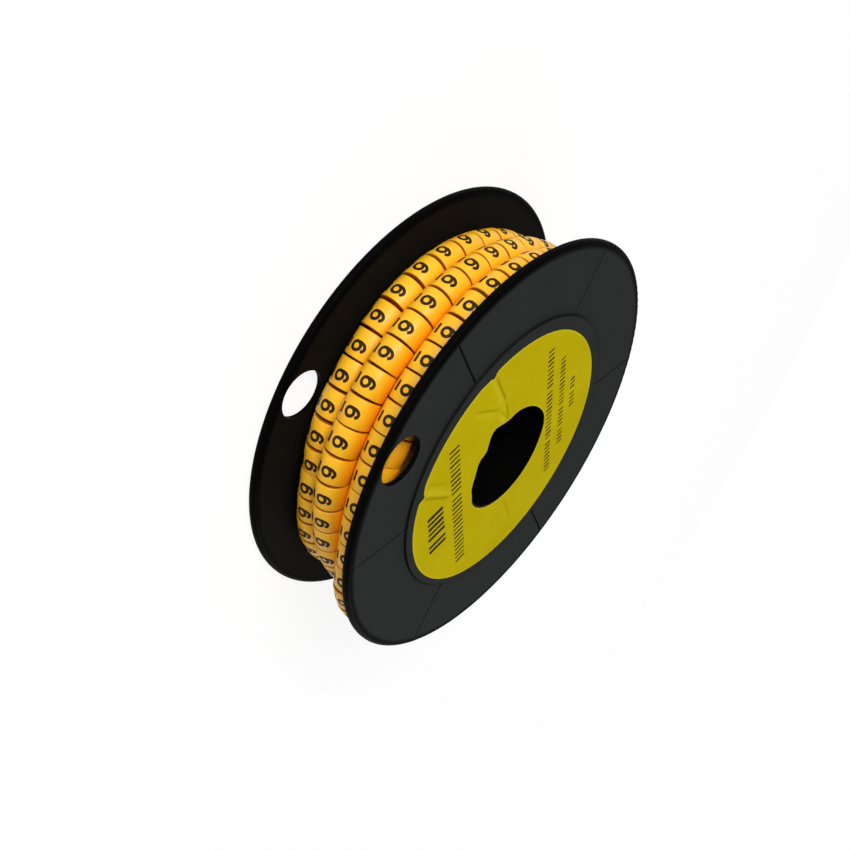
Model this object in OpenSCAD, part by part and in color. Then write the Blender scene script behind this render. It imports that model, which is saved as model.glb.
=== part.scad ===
// Reel of cable marker sleeves: a moulded spool, the wound marker strip and a ring label.
// The reel lies on its back flange with its axis along +Z and the label on top.
// The hole in each flange is on the -X side. All lengths are in millimetres.

/* [Spool] */
// diameter over each flange
flange_d = 92; // [78:1:120]
// thickness of each flange at its rim and around the hub
flange_t = 1.8; // [1.6:0.1:4]
// thickness of the thinned ring between the rim and the boss
web_t = 1.1; // [0.8:0.1:1.5]
// width of the thick rim outside the thinned ring
rim_w = 2; // [1.5:0.1:4]
// clear width between the flanges
inner_w = 22.1; // [19:0.1:30]
// diameter of the bore through the hub
bore_d = 24; // [16:0.1:32]
// wall of the hub around the bore
hub_wall = 2.4; // [1.5:0.1:4]
// rounding of the outer edges of the flanges
rim_r = 0.8; // [0.2:0.1:1.5]
// diameter of the raised boss on the front flange
boss_d = 61.4; // [50:0.1:70]
// height of the boss over the front flange
boss_h = 0.5; // [0.3:0.1:1]
// width of the fine moulded lines
line_w = 0.5; // [0.3:0.05:0.8]
// depth of the fine moulded lines
line_depth = 0.3; // [0.2:0.05:0.5]
// radial lines around the front flange
line_count = 6; // [3:1:12]
// plain margin between a line's end and the rounded edge
line_margin = 0.8; // [0.3:0.1:3]
// diameter of the round hole in each flange
hole_d = 10; // [6:0.1:12]
// rim left outside the round hole
hole_rim = 1.3; // [0.5:0.1:2]

/* [Marker strip] */
// outside diameter of a sleeve
tube_d = 6.5; // [5:0.1:7.5]
// length of strip that one sleeve takes, along its centre line
sleeve_pitch = 5.6; // [4:0.01:9]
// slit between two sleeves, at the crown of a turn
slit_w = 0.9; // [0.4:0.05:1.5]
// depth of a slit below the crown
slit_depth = 1.6; // [0.8:0.1:2.2]
// space between the outer turns and the flanges, on average
side_gap = 1.6; // [0.8:0.1:2.4]
// how far the winding sits off the middle of the spool, along Z
wind_shift = -0.3; // [-0.6:0.1:0.6]
// space between neighbouring turns
turn_gap = 0.1; // [0.05:0.01:0.4]
// depth of the middle turn's crown below the flange rim
fill_depth = 5.5; // [2:0.1:10]
// step from one layer of turns to the layer below it
layer_step = 5.6; // [4:0.1:8]

/* [Label] */
// outside diameter of the ring label
label_d = 57; // [48:0.1:60]
// diameter of the hole in the label
label_hole_d = 24; // [18:0.1:32]
// thickness of the label
label_t = 0.15; // [0.1:0.01:0.4]
// how far the label sits off the axis, along X
label_dx = 0.1; // [-3:0.1:3]
// how far the label sits off the axis, along Y
label_dy = -0.8; // [-3:0.1:3]
// label cut back from the edge of the bore
label_clear = 0.4; // [0:0.05:1]

/* [Hidden] */
$fn = 96;
flange_r = flange_d / 2;
hub_r = bore_d / 2 + hub_wall;
front_z = flange_t + inner_w;
face_z = front_z + flange_t;
boss_z = face_z + boss_h;
edge_r = min(rim_r, flange_t / 2 - 0.05);
line_end = flange_r - edge_r - line_margin;
hole_x = -(flange_r - hole_rim - hole_d / 2);
thin_w = flange_r - rim_w - boss_d / 2;
thin_depth = flange_t - web_t;
over = line_w;

tube_r = tube_d / 2;
core_r = tube_r - slit_depth;
mid_z = flange_t + inner_w / 2 + wind_shift;
turn_dz = inner_w / 2 - side_gap - tube_r;
// the middle turn rests in the valley between the two outer turns
rise = sqrt(max(0, pow(tube_d + turn_gap, 2) - pow(turn_dz, 2)));
mid_r = flange_r - fill_depth - tube_r;
side_r = mid_r - rise;
layers = floor((side_r - tube_r - hub_r) / layer_step);
// one turn each: centre-line radius, height of its centre, angle of its first slit
turns = [[side_r, mid_z - turn_dz, 7.7], [mid_r, mid_z, 0.35], [side_r, mid_z + turn_dz, 1.6]];

// half section of one flange, with rounded outer edges, from the axis outwards
module flange_section() {
    square([flange_r - edge_r, flange_t]);
    translate([0, edge_r]) square([flange_r, flange_t - 2 * edge_r]);
    translate([flange_r - edge_r, edge_r]) circle(edge_r);
    translate([flange_r - edge_r, flange_t - edge_r]) circle(edge_r);
}

// hub, both flanges and the boss in one moulding, before its holes and lines
module spool_body() {
    rotate_extrude() difference() {
        union() {
            flange_section();
            translate([0, front_z]) flange_section();
            square([hub_r, face_z]);
            square([boss_d / 2, boss_z]);
        }
        translate([-1, -1]) square([bore_d / 2 + 1, boss_z + 2]);
        translate([hub_r, flange_t]) square([flange_r, inner_w]);
        // the back flange is thinned from below, the front one from the winding's side
        translate([boss_d / 2, -over]) square([thin_w, thin_depth + over]);
        translate([boss_d / 2, front_z - over]) square([thin_w, thin_depth + over]);
    }
}

// fine straight lines from the boss towards the edge, on the front flange
module face_lines() {
    for (i = [0 : line_count - 1])
        rotate(30 + i * 360 / line_count)
            translate([boss_d / 2, -line_w / 2, face_z - line_depth])
                cube([line_end - boss_d / 2, line_w, line_depth + over]);
}

module spool() {
    color([0.16, 0.17, 0.165])
        difference() {
            spool_body();
            face_lines();
            translate([hole_x, 0, -over]) cylinder(d = hole_d, h = boss_z + 2 * over);
        }
}

// the layers under the visible turns, and the uncut core of each visible turn
module wound_core() {
    rotate_extrude() {
        translate([hub_r, mid_z - turn_dz]) square([side_r - hub_r, 2 * turn_dz]);
        translate([hub_r, mid_z - core_r / 2]) square([mid_r - hub_r, core_r]);
        for (k = [1 : layers], side = [-1, 1])
            translate([side_r - k * layer_step, mid_z + side * turn_dz]) circle(tube_r);
        for (t = turns)
            translate([t[0], t[1]]) circle(core_r);
    }
}

// the sleeves of one turn, each a short bend of round tube with a slit on either side
module sleeves(centre_r, centre_z, first) {
    count = round(2 * PI * centre_r / sleeve_pitch);
    step = 360 / count;
    slit = slit_w / (centre_r + tube_r) * 180 / PI;
    for (i = [0 : count - 1])
        rotate(first + i * step + slit / 2)
            rotate_extrude(angle = step - slit)
                translate([centre_r, centre_z]) circle(tube_r);
}

module marker_strip() {
    color([0.99, 0.66, 0.05])
        union() {
            wound_core();
            for (t = turns)
                sleeves(t[0], t[1], t[2]);
        }
}

module label() {
    color([0.73, 0.66, 0.05])
        translate([0, 0, boss_z])
            linear_extrude(label_t) difference() {
                translate([label_dx, label_dy]) circle(d = label_d);
                translate([label_dx, label_dy]) circle(d = label_hole_d);
                circle(d = bore_d + 2 * label_clear);
            }
}

spool();
marker_strip();
label();
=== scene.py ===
from types import SimpleNamespace

import bpy
import numpy as np
from mathutils import Matrix, Vector


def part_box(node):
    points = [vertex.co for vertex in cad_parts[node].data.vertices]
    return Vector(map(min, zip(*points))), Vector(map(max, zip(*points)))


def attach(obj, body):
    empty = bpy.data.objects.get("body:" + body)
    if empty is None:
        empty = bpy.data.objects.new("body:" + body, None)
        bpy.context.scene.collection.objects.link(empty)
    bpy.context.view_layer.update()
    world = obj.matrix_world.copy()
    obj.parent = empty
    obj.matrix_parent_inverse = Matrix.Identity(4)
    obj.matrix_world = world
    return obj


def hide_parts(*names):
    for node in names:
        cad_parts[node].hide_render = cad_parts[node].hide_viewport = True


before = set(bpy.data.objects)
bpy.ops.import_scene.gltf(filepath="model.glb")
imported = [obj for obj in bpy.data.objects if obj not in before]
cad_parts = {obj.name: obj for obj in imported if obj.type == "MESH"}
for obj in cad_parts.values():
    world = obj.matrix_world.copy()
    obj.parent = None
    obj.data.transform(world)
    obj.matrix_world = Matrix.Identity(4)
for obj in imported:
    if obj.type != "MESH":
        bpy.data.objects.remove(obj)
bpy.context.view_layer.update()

# Spool
# One moulding in black plastic: a hub with a flange at each end and a low boss for the label.
# The tool left its flat faces finely matt and its rims smoother and darker, and shade is painted in.
MM = 0.001
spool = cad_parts["spool"]
spool_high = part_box("spool")[1]
flange_r = spool_high.x
boss_top = spool_high.z
boss_r = 30.7 * MM
boss_step = 0.5 * MM
bore_r = 12.0 * MM
hole_x = -39.7 * MM
hole_r = 5.0 * MM
# radii of the black: rims with painted edge shade, and painted shade in the bore and round the holes
rim_from = flange_r - 1.9 * MM
rim_full = flange_r - 1.2 * MM
bore_from = bore_r + 0.3 * MM
bore_full = bore_r + 0.1 * MM
hole_from = hole_r + 0.8 * MM
hole_full = hole_r + 0.4 * MM
# webs' middle heights and the half height of their walls, painted black as shade, and its share in face
# lines
back_web = 1.25 * MM
front_web = boss_top - 1.05 * MM
wall_half = 0.45 * MM
wall_soft = 0.05 * MM
line_share = 0.3
# the painted shade along the corner round the boss: its half width, soft edge and darkness
corner_half = 0.04 * MM
corner_soft = 0.18 * MM
corner_share = 0.7

FACE_GREY = (0.0285, 0.031, 0.0298, 1)
# painted shade, with a warm tint of light thrown off the sleeves: below the front web all is drawn
# darker
INNER_SHADE_GREY = (0.0088, 0.0077, 0.0062, 1)
BLACK_SKIN_AND_SHADE = (0.0018, 0.0017, 0.0016, 1)
SCUFF_GREY = (0.07, 0.07, 0.068, 1)


def place(tree, kind, wires=None, **settings):
    """Adds one node to a tree.

    Settings are the node's own attributes. Wires give its inputs by name or number, each either
    a plain value or the output of another node.
    """
    node = tree.nodes.new(kind)
    for name, value in settings.items():
        setattr(node, name, value)
    for name, value in (wires or {}).items():
        if isinstance(value, bpy.types.NodeSocket):
            tree.links.new(value, node.inputs[name])
        else:
            node.inputs[name].default_value = value
    return node


def shader_group(name, inputs, outputs):
    """An empty shader group with named number inputs and outputs, and its two end nodes."""
    tree = bpy.data.node_groups.new(name, "ShaderNodeTree")
    for title, value in inputs.items():
        socket = tree.interface.new_socket(title, in_out="INPUT", socket_type="NodeSocketFloat")
        socket.default_value = value
    for title in outputs:
        tree.interface.new_socket(title, in_out="OUTPUT", socket_type="NodeSocketFloat")
    return tree, tree.nodes.new("NodeGroupInput"), tree.nodes.new("NodeGroupOutput")


def moulded_skin():
    """Shared surface: fine grain for bump and soft mottling for colour and gloss, per metre."""
    tree, given, made = shader_group(
        "moulded_skin", {"Grain": 6000.0, "Mottle": 150.0}, ["Height", "Cloud"])
    spot = place(tree, "ShaderNodeTexCoord").outputs["Object"]
    grain = place(tree, "ShaderNodeTexNoise", {
        "Vector": spot, "Scale": given.outputs["Grain"], "Detail": 3.0, "Roughness": 0.6})
    cloud = place(tree, "ShaderNodeTexNoise", {
        "Vector": spot, "Scale": given.outputs["Mottle"], "Detail": 4.0, "Roughness": 0.55})
    tree.links.new(grain.outputs["Fac"], made.inputs["Height"])
    tree.links.new(cloud.outputs["Fac"], made.inputs["Cloud"])
    return tree


def handling_marks():
    """Shared wear: short hairline scuffs in patches, and specks of dust, both as masks."""
    tree, given, made = shader_group(
        "handling_marks", {"Scuff": 0.4, "Dust": 0.4}, ["Scuffs", "Specks"])
    spot = place(tree, "ShaderNodeTexCoord").outputs["Object"]
    drawn = place(tree, "ShaderNodeMapping", {
        "Vector": spot, "Rotation": (0.0, 0.0, 0.6), "Scale": (260.0, 5200.0, 900.0)})
    hair = place(tree, "ShaderNodeTexNoise", {
        "Vector": drawn.outputs["Vector"], "Scale": 1.0, "Detail": 2.0, "Distortion": 0.4})
    lines = place(tree, "ShaderNodeMapRange", {
        "Value": hair.outputs["Fac"], "From Min": 0.64, "From Max": 0.74})
    patch = place(tree, "ShaderNodeTexNoise", {"Vector": spot, "Scale": 70.0, "Detail": 2.0})
    where = place(tree, "ShaderNodeMapRange", {
        "Value": patch.outputs["Fac"], "From Min": 0.52, "From Max": 0.68})
    both = place(tree, "ShaderNodeMath", {0: lines.outputs[0], 1: where.outputs[0]},
                 operation="MULTIPLY")
    scuffs = place(tree, "ShaderNodeMath", {0: both.outputs[0], 1: given.outputs["Scuff"]},
                   operation="MULTIPLY")
    cells = place(tree, "ShaderNodeTexVoronoi", {"Vector": spot, "Scale": 520.0})
    speck = place(tree, "ShaderNodeMapRange", {
        "Value": cells.outputs["Distance"], "From Min": 0.10, "From Max": 0.05})
    specks = place(tree, "ShaderNodeMath", {0: speck.outputs[0], 1: given.outputs["Dust"]},
                   operation="MULTIPLY")
    tree.links.new(scuffs.outputs[0], made.inputs["Scuffs"])
    tree.links.new(specks.outputs[0], made.inputs["Specks"])
    return tree


skin_group = moulded_skin()
marks_group = handling_marks()


def finish(name, specular):
    """A new material: its tree, and its Principled shader with the constant specular level set."""
    material = bpy.data.materials.new(name)
    material.use_nodes = True
    tree = material.node_tree
    shader = tree.nodes["Principled BSDF"]
    shader.inputs["Specular IOR Level"].default_value = specular
    return material, tree, shader


def blend(tree, share, low, high):
    """Mixes two colours, or two outputs, by a share between 0 and 1."""
    node = place(tree, "ShaderNodeMix", data_type="RGBA")
    for number, value in ((0, share), (6, low), (7, high)):
        if isinstance(value, bpy.types.NodeSocket):
            tree.links.new(value, node.inputs[number])
        else:
            node.inputs[number].default_value = value
    return node.outputs[2]


def span(tree, value, low, high, to_low=0.0, to_high=1.0):
    """Maps a value from low..high to to_low..to_high, held at the ends."""
    node = place(tree, "ShaderNodeMapRange", {
        "Value": value, "From Min": low, "From Max": high, "To Min": to_low, "To Max": to_high})
    return node.outputs["Result"]


def band(tree, value, middle, half, soft):
    """A mask: 1 where a value lies within half of a middle, falling to 0 over the soft width outside."""
    off = place(tree, "ShaderNodeMath", {0: value, 1: middle}, operation="SUBTRACT").outputs[0]
    off = place(tree, "ShaderNodeMath", {0: off}, operation="ABSOLUTE").outputs[0]
    return span(tree, off, half + soft, half)


def either(tree, *masks):
    """The strongest of several masks."""
    strongest = masks[0]
    for mask in masks[1:]:
        stronger = place(tree, "ShaderNodeMath", {0: strongest, 1: mask}, operation="MAXIMUM")
        strongest = stronger.outputs[0]
    return strongest


def bump(tree, shader, height, strength, depth):
    """Feeds a height into the shader's normal."""
    node = place(tree, "ShaderNodeBump", {"Height": height, "Strength": strength, "Distance": depth})
    tree.links.new(node.outputs["Normal"], shader.inputs["Normal"])


def black_plastic():
    """Black moulding: matt grey faces, smoother dark rims, and shade painted in black and dark grey."""
    material, tree, shader = finish("moulded_black", specular=0.012)
    skin = place(tree, "ShaderNodeGroup", node_tree=skin_group)
    marks = place(tree, "ShaderNodeGroup", {"Scuff": 0.15, "Dust": 0.08}, node_tree=marks_group)
    spot = place(tree, "ShaderNodeTexCoord").outputs["Object"]
    flat = place(tree, "ShaderNodeVectorMath", {0: spot, 1: (1.0, 1.0, 0.0)}, operation="MULTIPLY")
    out = place(tree, "ShaderNodeVectorMath", {0: flat.outputs[0]}, operation="LENGTH").outputs["Value"]
    up = place(tree, "ShaderNodeSeparateXYZ", {0: spot}).outputs["Z"]
    rim = span(tree, out, rim_from, rim_full)
    bore = span(tree, out, bore_from, bore_full)
    off_hole = place(tree, "ShaderNodeVectorMath", {0: flat.outputs[0], 1: (hole_x, 0.0, 0.0)},
                     operation="DISTANCE").outputs["Value"]
    wall_share = span(tree, off_hole, hole_from, hole_full, line_share, 1.0)
    walls = [band(tree, up, middle, wall_half, wall_soft) for middle in (back_web, front_web)]
    walls = place(tree, "ShaderNodeMath", {0: either(tree, *walls), 1: wall_share}, operation="MULTIPLY")
    # painted shade on a smoother skin: face edge, bore, hole walls and, in part, face lines go black and
    # less rough
    smooth = either(tree, rim, bore, walls.outputs[0])
    # painted shade: below the front web the moulding is drawn in the darker inner grey
    base = blend(tree, span(tree, up, front_web, boss_top - boss_step), INNER_SHADE_GREY, FACE_GREY)
    base = blend(tree, smooth, base, BLACK_SKIN_AND_SHADE)
    # painted shade along the corner round the boss
    corner_shade = band(tree, out, boss_r, corner_half, corner_soft)
    base = blend(tree, span(tree, corner_shade, 0.0, 1.0, 0.0, corner_share), base, BLACK_SKIN_AND_SHADE)
    cloud = span(tree, skin.outputs["Cloud"], 0.3, 0.7, 0.0, 0.05)
    base = blend(tree, cloud, base, BLACK_SKIN_AND_SHADE)
    base = blend(tree, marks.outputs["Scuffs"], base, SCUFF_GREY)
    base = blend(tree, marks.outputs["Specks"], base, SCUFF_GREY)
    tree.links.new(base, shader.inputs["Base Color"])
    matt = span(tree, smooth, 0.0, 1.0, 0.6, 0.5)
    tree.links.new(matt, shader.inputs["Roughness"])
    bump(tree, shader, skin.outputs["Height"], 0.2, 0.02 * MM)
    return material


spool.data.materials.clear()
spool.data.materials.append(black_plastic())

# Marker strip
# A string of soft vinyl sleeves: one extruded tube, sliced nearly through every few millimetres.
# It is wound in layers, each sleeve stays straight, and the slits gape on the outside of the bend.
strip_low, strip_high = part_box("marker_strip")
tube_r = 3.25 * MM
link_r = 1.7 * MM
tube_bore_r = 1.0 * MM
turn_gap = 0.1 * MM
layer_step = 5.6 * MM
cut_edge = 0.2 * MM
swell = 0.05 * MM
tight_slit = 0.06 * MM
sharp_edge = np.radians(48)
# degrees round the tube where the painted shade between two turns begins, and over how many it deepens
valley_from = 35
valley_width = 45
# spread of a sleeve's errors: slide and yaw in radians, lift, and share of its slit's width
slide_error = 0.0011
yaw_error = 0.014
lift_error = 0.03 * MM
slit_error = 0.15
mid_z = (strip_low.z + strip_high.z) / 2
turn_dz = (strip_high.z - strip_low.z) / 2 - tube_r
mid_r = (strip_high.y - strip_low.y) / 2 - tube_r
side_r = mid_r - np.sqrt((2 * tube_r + turn_gap) ** 2 - turn_dz ** 2)

VINYL = (0.94, 0.5, 0.018, 1)
# a random deeper tone, and painted shade with reflected orange between two turns
VINYL_DEEP_AND_SHADE = (0.95, 0.33, 0.003, 1)
# painted shade deep in the slits, on the cut faces
VINYL_SLIT_SHADE = (0.3, 0.04, 0.002, 1)

draws = np.random.default_rng(36)


def lay_turn(radius, height, count, anchor, slit, print_turn, print_shift, drift):
    """One turn of sleeves: each one's middle, its axes and its own small errors.

    The radius wanders with the angle, by the degrees and millimetres that drift lists, and the
    print turns round the tube in the same way. Slits cut the turn into equal lengths from the
    angle anchor on. A sleeve lies straight between two slits, tilted as the radius grows, and is
    slid and yawed a little by seeded draws. Where it comes level with the middle turn, it leans
    off it, to a tube's width and a gap between the two centres.
    """
    fine = np.linspace(0, 2 * np.pi, 1441)
    path = radius + np.interp(np.degrees(fine), *np.array(drift).T, period=360) * MM
    walked = np.concatenate([[0], np.cumsum((path[1:] + path[:-1]) / 2 * np.diff(fine))])
    cuts = np.interp(np.radians(anchor), fine, walked) + walked[-1] * np.arange(count + 1) / count
    slits = np.interp(cuts % walked[-1], walked, fine) + 2 * np.pi * (cuts // walked[-1])
    reach = np.interp(slits % (2 * np.pi), fine, path)
    step = np.diff(slits)
    angle = (slits[1:] + slits[:-1]) / 2 + draws.normal(0, slide_error, count)
    yaw = draws.normal(0, yaw_error, count)[:, None]
    tilt = np.arctan(np.diff(reach) / (step * reach[1:]))[:, None]
    reach = (reach[1:] + reach[:-1]) / 2 + draws.normal(0, lift_error, count)
    apart = np.sqrt(np.maximum(0, (2 * tube_r + turn_gap) ** 2 - (reach - mid_r) ** 2))
    lean = np.sign(height - mid_z) * np.maximum(0, apart - abs(height - mid_z))
    upward = np.array([0.0, 0.0, 1.0])
    level = np.stack([-np.sin(angle), np.cos(angle), np.zeros(count)], -1)
    spoke = np.stack([np.cos(angle), np.sin(angle), np.zeros(count)], -1)
    tangent = level * np.cos(tilt) + spoke * np.sin(tilt)
    return SimpleNamespace(
        count=count, radius=reach[:, None, None], half_step=np.tan(step / 2)[:, None, None],
        slit=slit * draws.uniform(1 - slit_error, 1 + slit_error, count),
        tone=draws.uniform(0, 1, count),
        print_turn=np.radians(np.interp(np.degrees(angle), *np.array(print_turn).T, period=360)),
        print_shift=print_shift * MM,
        middle=spoke * reach[:, None] + upward * (height + lean)[:, None],
        outward=spoke * np.cos(tilt) - level * np.sin(tilt),
        along=tangent * np.cos(yaw) + upward * np.sin(yaw),
        across=upward * np.cos(yaw) - tangent * np.sin(yaw))


def on_sleeves(turn, along, around, radius):
    """Points of every sleeve in a turn, as an array (sleeve, row, column, xyz).

    A point is the sleeve's middle, plus 'along' times its axis, plus 'radius' times the
    direction that is turned by 'around' from straight outwards towards +Z.
    """
    axis, outward, across = (v[:, None, None, :] for v in (turn.along, turn.outward, turn.across))
    way = np.cos(around)[..., None] * outward + np.sin(around)[..., None] * across
    return turn.middle[:, None, None, :] + along[..., None] * axis + radius[..., None] * way


def grid_mesh(name, points, close_rows=False, close_columns=False, values=None):
    """One smooth mesh from a stack of grids, an array (grid, row, column, xyz).

    Neighbouring rows and columns are joined by quads, and the last row or column is joined to
    the first where it is closed. Values are per-point attributes, of the stack's own shape.
    """
    grids, rows, columns = points.shape[:3]
    number = np.arange(grids * rows * columns).reshape(grids, rows, columns)
    if close_rows:
        number = np.concatenate([number, number[:, :1]], axis=1)
    if close_columns:
        number = np.concatenate([number, number[:, :, :1]], axis=2)
    this, after = number[:, :-1], number[:, 1:]
    quads = np.stack([this[..., :-1], after[..., :-1], after[..., 1:], this[..., 1:]], -1)
    mesh = bpy.data.meshes.new(name)
    mesh.from_pydata(points.reshape(-1, 3).tolist(), [], quads.reshape(-1, 4).tolist())
    for title, value in (values or {}).items():
        layer = mesh.attributes.new(title, "FLOAT", "POINT")
        spread = np.broadcast_to(value, points.shape[:3]).astype(np.float32)
        layer.data.foreach_set("value", spread.ravel())
    mesh.shade_smooth()
    mesh.set_sharp_from_angle(angle=sharp_edge)
    piece = bpy.data.objects.new(name, mesh)
    bpy.context.scene.collection.objects.link(piece)
    return piece


def half_length(turn, around, radius):
    """Half a sleeve's length: up to the plane between two sleeves, less half of the slit.

    The planes pass through the reel's axis, and the slit opens evenly from the uncut inner
    side of the tube to its crown.
    """
    gape = tight_slit + (turn.slit[:, None, None] - tight_slit) * (1 + np.cos(around)) / 2
    return turn.half_step * (turn.radius + radius * np.cos(around)) - gape / 2


def sleeve_turn(name, turn, around):
    """The sleeves of one turn: a closed profile turned round the tube's axis.

    It runs from the bore along the uncut link, out over the cut face, round the cut edge to the
    wall, which swells a little in the middle, and back the same way. The links of neighbours
    meet in the plane between them. Each list has one entry for each point of the profile.
    """
    share = np.array([-1, -1, -1, -1, -1, -1, 0, 1, 1, 1, 1, 1, 1])[None, :, None]
    linked = np.array([1, 1, 0, 0, 0, 0, 0, 0, 0, 0, 0, 1, 1])[None, :, None]
    inset = np.array([0, 0, 0, 0, 0.3, 1, 0, -1, -0.3, 0, 0, 0, 0])[None, :, None] * cut_edge
    cut = np.array([1, 1, 1, 0.75, 0.15, 0, 0, 0, 0.15, 0.75, 1, 1, 1])[None, :, None]
    wall = np.array([0, 0, 0, 1, 0.3, 0, 0, 0, 0.3, 1, 0, 0, 0])[None, :, None] * cut_edge
    radius = tube_r - wall + swell * (1 - share ** 2)
    radius[:, [1, 2, -3, -2]] = link_r
    radius[:, [0, -1]] = tube_bore_r
    around = around[None, None, :]
    end = half_length(turn, around, radius)
    halfway = turn.half_step * (turn.radius + radius * np.cos(around))
    along = share * np.where(linked, halfway, end) + inset
    points = on_sleeves(turn, along, around, radius + 0 * around)
    tone = turn.tone[:, None, None]
    valley = np.clip((np.abs(np.degrees(around)) - valley_from) / valley_width, 0, 1)
    return grid_mesh(name, points, close_rows=True, close_columns=True,
                     values={"cut": cut, "tone": tone, "valley": valley})


def soft_vinyl():
    """Orange-yellow vinyl, soft gloss; painted shade deepens it between turns and darkens the slits."""
    material, tree, shader = finish("soft_vinyl", specular=0.29)
    skin = place(tree, "ShaderNodeGroup", {"Grain": 2500.0, "Mottle": 220.0}, node_tree=skin_group)
    cut = place(tree, "ShaderNodeAttribute", attribute_name="cut").outputs["Fac"]
    tone = place(tree, "ShaderNodeAttribute", attribute_name="tone").outputs["Fac"]
    uneven = place(tree, "ShaderNodeMath", {0: skin.outputs["Cloud"], 1: tone}, operation="MULTIPLY")
    base = blend(tree, span(tree, uneven.outputs[0], 0.0, 0.6, 0.0, 0.2), VINYL, VINYL_DEEP_AND_SHADE)
    valley = place(tree, "ShaderNodeAttribute", attribute_name="valley").outputs["Fac"]
    # painted shade and reflected light between two turns, on the sides of each tube
    base = blend(tree, valley, base, VINYL_DEEP_AND_SHADE)
    # painted shade: the cut faces in the slits are drawn dark red-brown
    base = blend(tree, cut, base, VINYL_SLIT_SHADE)
    tree.links.new(base, shader.inputs["Base Color"])
    gloss = span(tree, skin.outputs["Cloud"], 0.3, 0.7, 0.34, 0.44)
    tree.links.new(gloss, shader.inputs["Roughness"])
    bump(tree, shader, skin.outputs["Height"], 0.12, 0.01 * MM)
    return material


# how far out each outer turn lies, by the angle: the front one climbs and lifts off at the strip's end
back_drift = (
    (90, 1.0), (130, 1.4), (149, 1.1), (161, 0.1), (185, -0.2), (203, -1.2), (220, 0.0), (236, 1.0),
    (270, 0.0))
middle_drift = (
    (90, 0.0), (165, 0.2), (181, 0.0), (195, 0.3), (206, -0.2), (216, -0.5), (240, -0.4), (270, 0.0))
front_drift = (
    (40, 0.0), (90, 3.1), (121, 3.1), (130, 2.8), (139, 2.2), (150, 1.2), (165, 0.3), (180, 0.0),
    (195, 0.1), (205, 0.7), (214, 1.4), (223, 2.6), (230, 4.4), (237, 5.6), (246, 6.7), (256, 6.4),
    (275, 2.5), (300, 0.0))
hole_drift = ((140, 0.0), (160, 1.4), (205, 1.4), (225, 0.0))
even = ((0, 0.0),)
# how far the print of each outer turn is turned round the tube, by the angle
back_print = ((165, -8), (190, -4), (260, -4), (300, -8))
middle_print = ((165, 0), (188, 5), (260, 5), (300, 0))
front_print = ((0, 6),)
# the turn that the front hole shows
under_r = side_r - 2.4 * MM
under_z = mid_z + turn_dz + 0.9 * MM
# radius, height, sleeves, angle of one slit, slit at the crown, turn and shift of the print, drift
outer_turns = {
    "back": lay_turn(side_r, mid_z - turn_dz, 39, 155.3, 0.6 * MM, back_print, 0.6, back_drift),
    "middle": lay_turn(mid_r, mid_z, 42, 154.6, 0.43 * MM, middle_print, 0.3, middle_drift),
    "front": lay_turn(side_r, mid_z + turn_dz, 40, 158.9, 0.43 * MM, front_print, 0.25, front_drift),
}
under_turns = {
    "back_under": lay_turn(side_r - layer_step, mid_z - turn_dz, 32, 5.0, 0.5 * MM, even, 0, even),
    "front_under": lay_turn(under_r, under_z, 37, 186, 0.3 * MM, even, 0, hole_drift),
}
vinyl = soft_vinyl()
# angles round the tube, closer on the side that shows
fine_round = np.radians(np.concatenate([np.linspace(-115, 115, 21), np.linspace(115, 245, 6)[1:-1]]))
plain_round = np.radians(np.linspace(0, 360, 16, endpoint=False))
for side, turn in {**outer_turns, **under_turns}.items():
    piece = sleeve_turn(f"sleeves_{side}", turn, fine_round if side in outer_turns else plain_round)
    piece.data.materials.append(vinyl)
    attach(piece, "root")
    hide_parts("marker_strip")

# Inner turns
# The layers of the same tube that lie under the two outer ones, seen only through the flange holes.
# They are drawn as one ring with a round rib for each hidden turn.
hub_r = 14.4 * MM
hub_gap = 0.05 * MM
inner_tone = 0.8
inner_top = side_r - layer_step - 0.8 * tube_r
hidden_layers = np.array([2.0, 3.0])


def inner_turns():
    """A ring whose section bulges out, on both sides, by half a circle at each hidden turn."""
    out = np.linspace(hub_r + hub_gap, inner_top, 40)
    centres = side_r - layer_step * hidden_layers
    bulge = np.sqrt(np.maximum(0, tube_r ** 2 - (out[:, None] - centres) ** 2)).max(1)
    radius = np.concatenate([out, out[::-1]])
    height = mid_z + np.concatenate([-turn_dz - bulge, (turn_dz + bulge)[::-1]])
    angle = np.linspace(0, 2 * np.pi, 72, endpoint=False)[:, None]
    points = np.stack([radius * np.cos(angle), radius * np.sin(angle), height + 0 * angle], -1)
    return grid_mesh("inner_turns", points[None], close_rows=True, close_columns=True,
                     values={"tone": np.full((1, 1, 1), inner_tone)})


inner = inner_turns()
inner.data.materials.append(vinyl)
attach(inner, "root")
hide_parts("marker_strip")

# Print on the sleeves
# Each sleeve carries the digit six with a bar under it, stamped in dark ink by a printing wheel.
# The digit stands across the tube, and the ink is a film with a slightly uneven edge and cover.
ink_film = 0.02 * MM
ink_sunk = 0.05 * MM
stroke = 0.6 * MM
bar_length = 2.1 * MM
bar_stroke = 0.62 * MM
bar_turn = np.radians(-35)
digit_turn = np.radians(10)
# half width and half height of the digit's arc and bowl, and their middles, in millimetres
arc_size = (0.87, 1.16)
arc_middle = (0.02, 0.12)
bowl_size = (0.84, 0.82)
bowl_middle = (0.0, -0.46)
# spread of the print's place: along the sleeve, and round it in radians
print_slide = 0.09 * MM
print_roll = 0.02

INK = (0.026, 0.013, 0.003, 1)
INK_THIN = (0.11, 0.045, 0.005, 1)


def six_path():
    """Centre line of a six: an arc from the top right over to the left, then once round the bowl.

    The bowl and the arc are ellipses, and x runs along the sleeve and y up the digit.
    """
    arc = np.radians(np.linspace(35, 172, 9))
    bowl = np.radians(np.linspace(184, 545, 17))
    curves = ((arc, arc_middle, arc_size), (bowl, bowl_middle, bowl_size))
    x = np.concatenate([middle[0] + size[0] * np.cos(angle) for angle, middle, size in curves])
    y = np.concatenate([middle[1] + size[1] * np.sin(angle) for angle, middle, size in curves])
    return x * MM, y * MM


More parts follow.
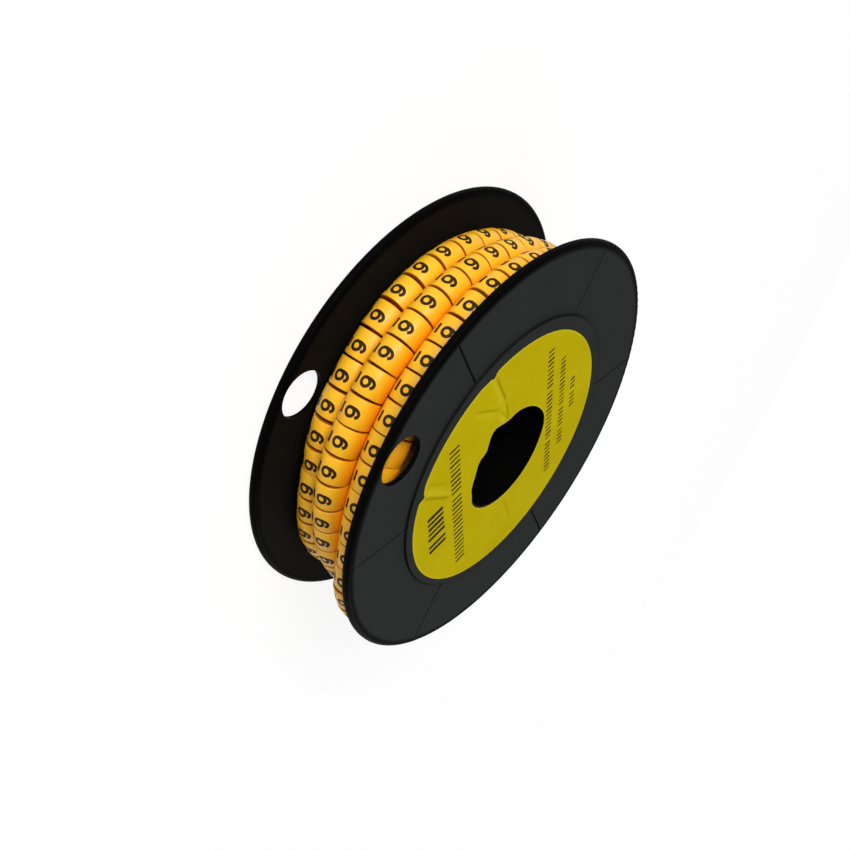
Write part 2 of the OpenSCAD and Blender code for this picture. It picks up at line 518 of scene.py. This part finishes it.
def stamped(name, turn, x, y, width, base_turn, wobble):
    """A flat ink line on every sleeve of a turn.

    A low box section is carried along the path. Each section is set square to the path, and
    the path is wrapped on the tube: x is the way along it, and y over the tube's radius is
    the angle round it.
    """
    slope = np.stack([np.gradient(x), np.gradient(y)])
    side = np.stack([-slope[1], slope[0]]) / np.hypot(*slope) * width / 2
    edge = np.array([-1, -1, 1, 1])[:, None]
    deep = np.array([-ink_sunk, ink_film, ink_film, -ink_sunk])[:, None]
    along = (x + edge * side[0] + turn.print_shift)[None] + wobble[0][:, None, None]
    set_round = base_turn + turn.print_turn + wobble[1]
    around = set_round[:, None, None] + (y + edge * side[1])[None] / tube_r
    points = on_sleeves(turn, along, around, tube_r + swell + deep + 0 * along)
    return grid_mesh(name, points, close_rows=True)


def dark_ink():
    """Dark print that thins out in spots, where the vinyl shows through."""
    material, tree, shader = finish("dark_ink", specular=0.1)
    skin = place(tree, "ShaderNodeGroup", {"Grain": 5200.0, "Mottle": 900.0}, node_tree=skin_group)
    thin = span(tree, skin.outputs["Cloud"], 0.52, 0.72, 0.0, 0.55)
    tree.links.new(blend(tree, thin, INK, INK_THIN), shader.inputs["Base Color"])
    shade = span(tree, skin.outputs["Cloud"], 0.3, 0.7, 0.42, 0.55)
    tree.links.new(shade, shader.inputs["Roughness"])
    return material


ink = dark_ink()
six_x, six_y = six_path()
bar_x = np.linspace(-bar_length / 2, bar_length / 2, 4)
for side, turn in outer_turns.items():
    wobble = (draws.normal(0, print_slide, turn.count), draws.normal(0, print_roll, turn.count))
    for word, line in (("digit", (six_x, six_y, stroke, digit_turn)),
                       ("bar", (bar_x, 0 * bar_x, bar_stroke, bar_turn))):
        piece = stamped(f"print_{word}_{side}", turn, *line, wobble)
        piece.data.materials.append(ink)
        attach(piece, "root")

# Label
# A thin ring of yellow film stuck on the boss, a little off centre, by hand.
# It has two nicks and some creases on its left side, and its hole runs unevenly over the bore.
label_low, label_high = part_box("label")
label_x = (label_low.x + label_high.x) / 2
label_y = (label_low.y + label_high.y) / 2
label_r = (label_high.x - label_low.x) / 2
label_hole_r = 11.75 * MM
film = 0.06 * MM
glue = 0.014 * MM
under_gap = 0.002 * MM
# the slight ripple of the film: its height, and its wave along x and y
ripple_height = 0.012 * MM
ripple_x = 4.1 * MM
ripple_y = 5.3 * MM
ripple_shift = 1.3
# a crease: share of its height that stands, how it falls off, its painted shade line and highlight
# beside
crease_lift = 0.42
crease_end = 1.0 * MM
steep_fall = 0.3 * MM
gentle_fall = 1.6 * MM
fold_end = 1.5 * MM
fold_line = 0.28 * MM
fold_side = 0.9 * MM
fold_width = 0.7 * MM
crease_shade_tone = 0.9
crease_highlight_tone = 0.5
deep_crease = 0.16
# the paler cut edge, at the rim and at the hole
rim_pale = 0.3 * MM
hole_pale = 0.25 * MM
edge_tone = 0.5

FILM_YELLOW = (0.62, 0.5, 0.003, 1)
FILM_SHADE = (0.57, 0.45, 0.002, 1)
# painted shade along the crease lines; the next is painted highlight beside them and the paler cut edge
CREASE_SHADE = (0.26, 0.2, 0.002, 1)
CREASE_HIGHLIGHT_AND_EDGE = (0.73, 0.62, 0.02, 1)

# angle in degrees, change of radius, and width in degrees
hole_waves = (
    (46, 0.6, 22), (128, -0.45, 9), (150, 1.2, 8.5), (171, -1.3, 9), (190, -0.5, 12), (206, -0.9, 15),
    (229, -0.55, 10))
rim_nicks = ((195.5, -1.1, 1.5), (193, -0.4, 2.5), (140.6, -0.9, 1.3), (143.5, -0.4, 3.0))
# start, end, height and steep side of each crease, in millimetres
creases = (
    ((-26.9, -8.2), (-16.5, -8.7), 0.16, -1), ((-27.3, -5.6), (-19.5, -5.3), 0.07, 1),
    ((-21.5, 17.2), (-12.4, 12.1), 0.17, 1), ((-12.4, 12.1), (-7.5, 7.9), 0.13, 1),
    ((-22.2, 9.6), (-12.9, 10.1), 0.10, 1), ((-12.9, 10.1), (-7.9, 8.1), 0.12, 1),
    ((8.1, -11.2), (15.5, -15.9), 0.06, 1),
)


def waves(angle, bumps):
    """A sum of bell curves over the angle, each with its centre, height and width."""
    total = np.zeros_like(angle)
    for centre, height, width in bumps:
        off = (np.degrees(angle) - centre + 180) % 360 - 180
        total = total + height * MM * np.exp(-(off / width) ** 2)
    return total


def crease_frame(x, y, start, end):
    """Where points lie along and across the straight line of one crease, and the line's length."""
    start, end = np.array(start) * MM, np.array(end) * MM
    length = np.linalg.norm(end - start)
    way = (end - start) / length
    along = (x - start[0]) * way[0] + (y - start[1]) * way[1]
    across = (y - start[1]) * way[0] - (x - start[0]) * way[1]
    return along, across, length


def crease_height(x, y):
    """Height of the creases: each falls off steeply on one side of its line and gently on the other."""
    total = np.zeros_like(x)
    for start, end, height, steep in creases:
        along, across, length = crease_frame(x, y, start, end)
        across = steep * across
        inside = np.clip((along / crease_end + 1) / 2, 0, 1)
        inside = inside * np.clip(((length - along) / crease_end + 1) / 2, 0, 1)
        fall = np.where(across > 0, np.exp(-across / steep_fall), np.exp(across / gentle_fall))
        total = np.maximum(total, height * MM * inside * fall)
    return total


def crease_shading(x, y):
    """Painted light along the creases: minus for shade where the film turns away, plus for a highlight
    beside it.
    """
    total = np.zeros_like(x)
    for start, end, height, steep in creases:
        along, across, length = crease_frame(x, y, start, end)
        inside = np.clip(along / fold_end, 0, 1) * np.clip((length - along) / fold_end, 0, 1)
        line = np.exp(-(across / fold_line) ** 2)
        beside = np.exp(-((steep * across + fold_side) / fold_width) ** 2)
        total = total + height / deep_crease * inside * (crease_highlight_tone * beside - crease_shade_tone * line)
    return np.clip(total, -1, 1)


def film_height(x, y):
    """The label's top face: the boss, the glue, the film and its creases, with a slight ripple."""
    ripple = ripple_height * np.sin(x / ripple_x + ripple_shift) * np.sin(y / ripple_y)
    return boss_top + film + glue + ripple + crease_height(x, y) * crease_lift


def ring_label():
    """A ring worked out on angle and share of the way from its hole to its rim, closed underneath."""
    angle = np.linspace(0, 2 * np.pi, 360, endpoint=False)[None, :]
    share = np.concatenate([[0, 0.012], np.linspace(0.03, 0.97, 68), [0.988, 1]])[:, None]
    inner = label_hole_r + waves(angle, hole_waves)
    outer = label_r + waves(angle, rim_nicks)
    radius = inner + (outer - inner) * share
    x = label_x + radius * np.cos(angle)
    y = label_y + radius * np.sin(angle)
    top = np.stack([x, y, film_height(x, y)], -1)
    under = np.stack([x[[-1, 0]], y[[-1, 0]], np.full((2, angle.size), boss_top + under_gap)], -1)
    edge = np.exp(-((outer - radius) / rim_pale) ** 2) + np.exp(-((radius - inner) / hole_pale) ** 2)
    # painted shade and highlight along the creases, and the paler cut edge
    tone = np.clip(crease_shading(x, y) + edge_tone * edge, -1, 1)
    tone = np.concatenate([tone, np.zeros((2, angle.size))])
    points = np.concatenate([top, under])
    return grid_mesh("ring_label", points[None], close_rows=True, close_columns=True,
                     values={"crease_shading_and_edge": tone[None]})


def yellow_film():
    """Printed yellow film: faint unevenness, soft gloss, a trace of handling and painted crease shading.
    """
    material, tree, shader = finish("yellow_film", specular=0.004)
    skin = place(tree, "ShaderNodeGroup", {"Grain": 1800.0, "Mottle": 90.0}, node_tree=skin_group)
    marks = place(tree, "ShaderNodeGroup", {"Scuff": 0.25, "Dust": 0.1}, node_tree=marks_group)
    base = blend(tree, span(tree, skin.outputs["Cloud"], 0.35, 0.7), FILM_YELLOW, FILM_SHADE)
    base = blend(tree, marks.outputs["Scuffs"], base, FILM_SHADE)
    crease_shading_and_edge = place(tree, "ShaderNodeAttribute", attribute_name="crease_shading_and_edge").outputs["Fac"]
    # painted shade in the crease lines, painted highlight beside them and the paler cut edge
    base = blend(tree, span(tree, crease_shading_and_edge, 0.0, -1.0), base, CREASE_SHADE)
    base = blend(tree, span(tree, crease_shading_and_edge, 0.0, 1.0), base, CREASE_HIGHLIGHT_AND_EDGE)
    tree.links.new(base, shader.inputs["Base Color"])
    gloss = span(tree, skin.outputs["Cloud"], 0.3, 0.7, 0.42, 0.52)
    tree.links.new(gloss, shader.inputs["Roughness"])
    bump(tree, shader, skin.outputs["Height"], 0.1, 0.01 * MM)
    return material


label = ring_label()
label.data.materials.append(yellow_film())
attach(label, "root")
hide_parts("label")

# Print on the label
# Rows of plain upright bars in brown-black ink, printed on the film before the ring is cut out.
# The bars are strokes of uneven width and height, and the ink lies on the film as a thin layer.
print_film = 0.012 * MM
# directions along a row and up its bars
row_way = np.array([0.685, -0.729])
row_up = np.array([0.729, 0.685])
# gap between two groups in steps, spread of a bar's width, and the least share of its height
group_gap = 0.6
width_spread = 0.25
least_height = 0.86

LABEL_INK = (0.03, 0.024, 0.003, 1)
LABEL_INK_THIN = (0.14, 0.11, 0.004, 1)

# middle of the row, height, step from bar to bar, width of a bar, and the bars in each group
dark_rows = (((-15.3, -16.1), 5.0, 1.62, 0.95, (5, 2)), ((-11.1, -11.4), 3.1, 1.42, 0.5, (10, 16)))
thin_rows = (((9.7, 9.2), 2.0, 1.3, 0.5, (9, 12, 8)), ((12.6, 12.2), 1.7, 1.25, 0.46, (12, 5, 4)),
             ((15.7, 14.3), 1.7, 1.25, 0.46, (3, 4)))


def bar_rows(name, rows):
    """Upright bars along the rows, each a small grid that follows the film, its border sunk into it.

    The bars of a row stand a step apart, with a wider gap between two groups, and the whole row
    is centred on its middle. Widths and heights vary by seeded draws.
    """
    share = np.array([0, 0, 0.5, 1, 1]) - 0.5
    rise = np.array([-1, 1, 1, 1, -1])
    bars = []
    for middle, tall, step, wide, groups in rows:
        places = np.concatenate([np.full(size, gap) for gap, size in enumerate(groups)])
        places = (places * group_gap + np.arange(places.size)) * step
        shifts = places - places.mean()
        widths = wide * draws.uniform(1 - width_spread, 1 + width_spread, shifts.size)
        heights = tall * draws.uniform(least_height, 1, shifts.size)
        bars.append(np.stack(np.broadcast_arrays(*middle, shifts, widths, heights)))
    mid_x, mid_y, shift, wide, tall = np.concatenate(bars, axis=1)[:, :, None, None] * MM
    way = shift + share[None, None, :] * wide
    up = share[None, :, None] * tall
    x = mid_x + way * row_way[0] + up * row_up[0]
    y = mid_y + way * row_way[1] + up * row_up[1]
    z = film_height(x, y) + print_film * np.minimum(rise[None, None, :], rise[None, :, None])
    points = np.stack([x, y, z], -1)
    return grid_mesh(name, points[:, :, ::-1])


def label_ink():
    """Print on the film, patchy at the scale of its edges."""
    material, tree, shader = finish("label_ink", specular=0.01)
    skin = place(tree, "ShaderNodeGroup", {"Grain": 4000.0, "Mottle": 700.0}, node_tree=skin_group)
    thin = span(tree, skin.outputs["Cloud"], 0.45, 0.75, 0.0, 0.4)
    tree.links.new(blend(tree, thin, LABEL_INK, LABEL_INK_THIN), shader.inputs["Base Color"])
    shade = span(tree, skin.outputs["Cloud"], 0.3, 0.7, 0.45, 0.55)
    tree.links.new(shade, shader.inputs["Roughness"])
    return material


film_ink = label_ink()
for name, rows in (("label_print_dark", dark_rows), ("label_print_thin", thin_rows)):
    piece = bar_rows(name, rows)
    piece.data.materials.append(film_ink)
    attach(piece, "root")

# Floor
# A plain white table top that fills every view. Far off it shines evenly white to the camera.
# Near the reel part of it is paint, which takes the shadow, and under the bore it is painted shade.
floor_half = 6.0
floor_gap = 0.02 * MM
# strength of the white glow, and its share near the reel
glow_strength = 1.16
floor_glow = 0.74
# distances from the axis where the floor turns from painted shade to white, and from paint to glow alone
glow_from = 0.028
glow_full = 0.034
white_from = 0.12
white_full = 0.35

WHITE = (1, 1, 1, 1)
TABLE_PAINT = (0.75, 0.75, 0.75, 1)
UNDER_BORE_SHADE = (0.01, 0.01, 0.01, 1)


def seen(tree):
    """1 for the rays that show a surface to the camera, straight, in a mirror or through glass."""
    ray = place(tree, "ShaderNodeLightPath")
    kinds = ("Camera", "Glossy", "Transmission")
    return either(tree, *(ray.outputs[f"Is {kind} Ray"] for kind in kinds))


def white_table():
    """White paint for light, mixed with an even white glow for camera, mirror and glass rays."""
    material = bpy.data.materials.new("white_table")
    material.use_nodes = True
    tree = material.node_tree
    tree.nodes.remove(tree.nodes["Principled BSDF"])
    spot = place(tree, "ShaderNodeTexCoord").outputs["Object"]
    away = place(tree, "ShaderNodeVectorMath", {0: spot}, operation="LENGTH").outputs["Value"]
    open_floor = span(tree, away, glow_from, glow_full)
    # painted shade: under the bore and the reel the paint is near black
    colour = blend(tree, open_floor, UNDER_BORE_SHADE, TABLE_PAINT)
    paint = place(tree, "ShaderNodeBsdfDiffuse", {"Color": colour})
    glow = place(tree, "ShaderNodeEmission", {"Color": WHITE, "Strength": glow_strength})
    near = span(tree, away, glow_from, glow_full, 0.0, floor_glow)
    far = span(tree, away, white_from, white_full)
    glowing = place(tree, "ShaderNodeMath", {0: near, 1: far}, operation="MAXIMUM")
    share = place(tree, "ShaderNodeMath", {0: seen(tree), 1: glowing.outputs[0]}, operation="MULTIPLY")
    mix = place(tree, "ShaderNodeMixShader", {
        0: share.outputs[0], 1: paint.outputs[0], 2: glow.outputs[0]})
    tree.links.new(mix.outputs[0], tree.nodes["Material Output"].inputs["Surface"])
    return material


ends = np.array([-floor_half, floor_half])
floor_grid = np.stack(np.broadcast_arrays(ends[:, None], ends[None, :], -floor_gap), -1)
floor = grid_mesh("floor", floor_grid[None])
floor.data.materials.append(white_table())

# Light
# A wide soft lamp on the camera's side, a weaker one under it, a third from behind, and a room.
# The room is pale near the horizon, darker overhead, and shows white to the camera, as a backdrop does.
scene = bpy.context.scene
scene.view_settings.view_transform = "Standard"
# place, side length and power of each lamp
lamps = {
    "key_lamp": ((-0.586, 0.528, 0.493), 0.45, 5.1),
    "low_lamp": ((-0.63, 0.52, 0.34), 0.4, 2.3),
    "fill_lamp": ((0.5, -0.7, 0.42), 0.5, 2.4),
}
# height of a sky direction where the backdrop begins, and where it is full
backdrop_from = 0.4
backdrop_full = 0.15

ROOM_OVERHEAD = (0.24, 0.24, 0.245, 1)
ROOM_LOW = (0.5, 0.5, 0.5, 1)


def soft_lamp(name, place_at, size, power):
    """A square lamp that faces the reel."""
    data = bpy.data.lights.new(name, "AREA")
    data.size = size
    data.energy = power
    lamp = bpy.data.objects.new(name, data)
    lamp.location = place_at
    aim = Vector((0, 0, boss_top / 2)) - lamp.location
    lamp.rotation_euler = aim.to_track_quat("-Z", "Y").to_euler()
    scene.collection.objects.link(lamp)


for name, lamp in lamps.items():
    soft_lamp(name, *lamp)

world = bpy.data.worlds.new("pale_room")
world.use_nodes = True
scene.world = world
sky = world.node_tree
way = place(sky, "ShaderNodeTexCoord").outputs["Generated"]
height = place(sky, "ShaderNodeSeparateXYZ", {0: way}).outputs["Z"]
backdrop = span(sky, height, backdrop_from, backdrop_full)
room = blend(sky, backdrop, ROOM_OVERHEAD, ROOM_LOW)
mirrored = place(sky, "ShaderNodeMath", {0: seen(sky), 1: backdrop}, operation="MULTIPLY").outputs[0]
straight = place(sky, "ShaderNodeLightPath").outputs["Is Camera Ray"]
room = blend(sky, either(sky, straight, mirrored), room, WHITE)
sky.links.new(room, sky.nodes["Background"].inputs["Color"])

# Camera
# It looks at the reel from the side of the flange holes, 25 degrees above the table, and is rolled
# so that the reel's axis points down to the right, as in the photograph.
eye = Vector((-216.239, 61.311, 116.457)) * MM
forward = Vector((0.86071, -0.26114, -0.43701)).normalized()
picture_up = Vector((0.01785, 0.87338, -0.48672)).normalized()
camera_data = bpy.data.cameras.new("camera")
camera_data.sensor_width = 36
camera_data.lens = 51.32
camera_data.clip_start = 0.01
camera = bpy.data.objects.new("camera", camera_data)
axes = Matrix((forward.cross(picture_up), picture_up, -forward)).transposed()
camera.matrix_world = Matrix.Translation(eye) @ axes.to_4x4()
scene.collection.objects.link(camera)
scene.camera = camera
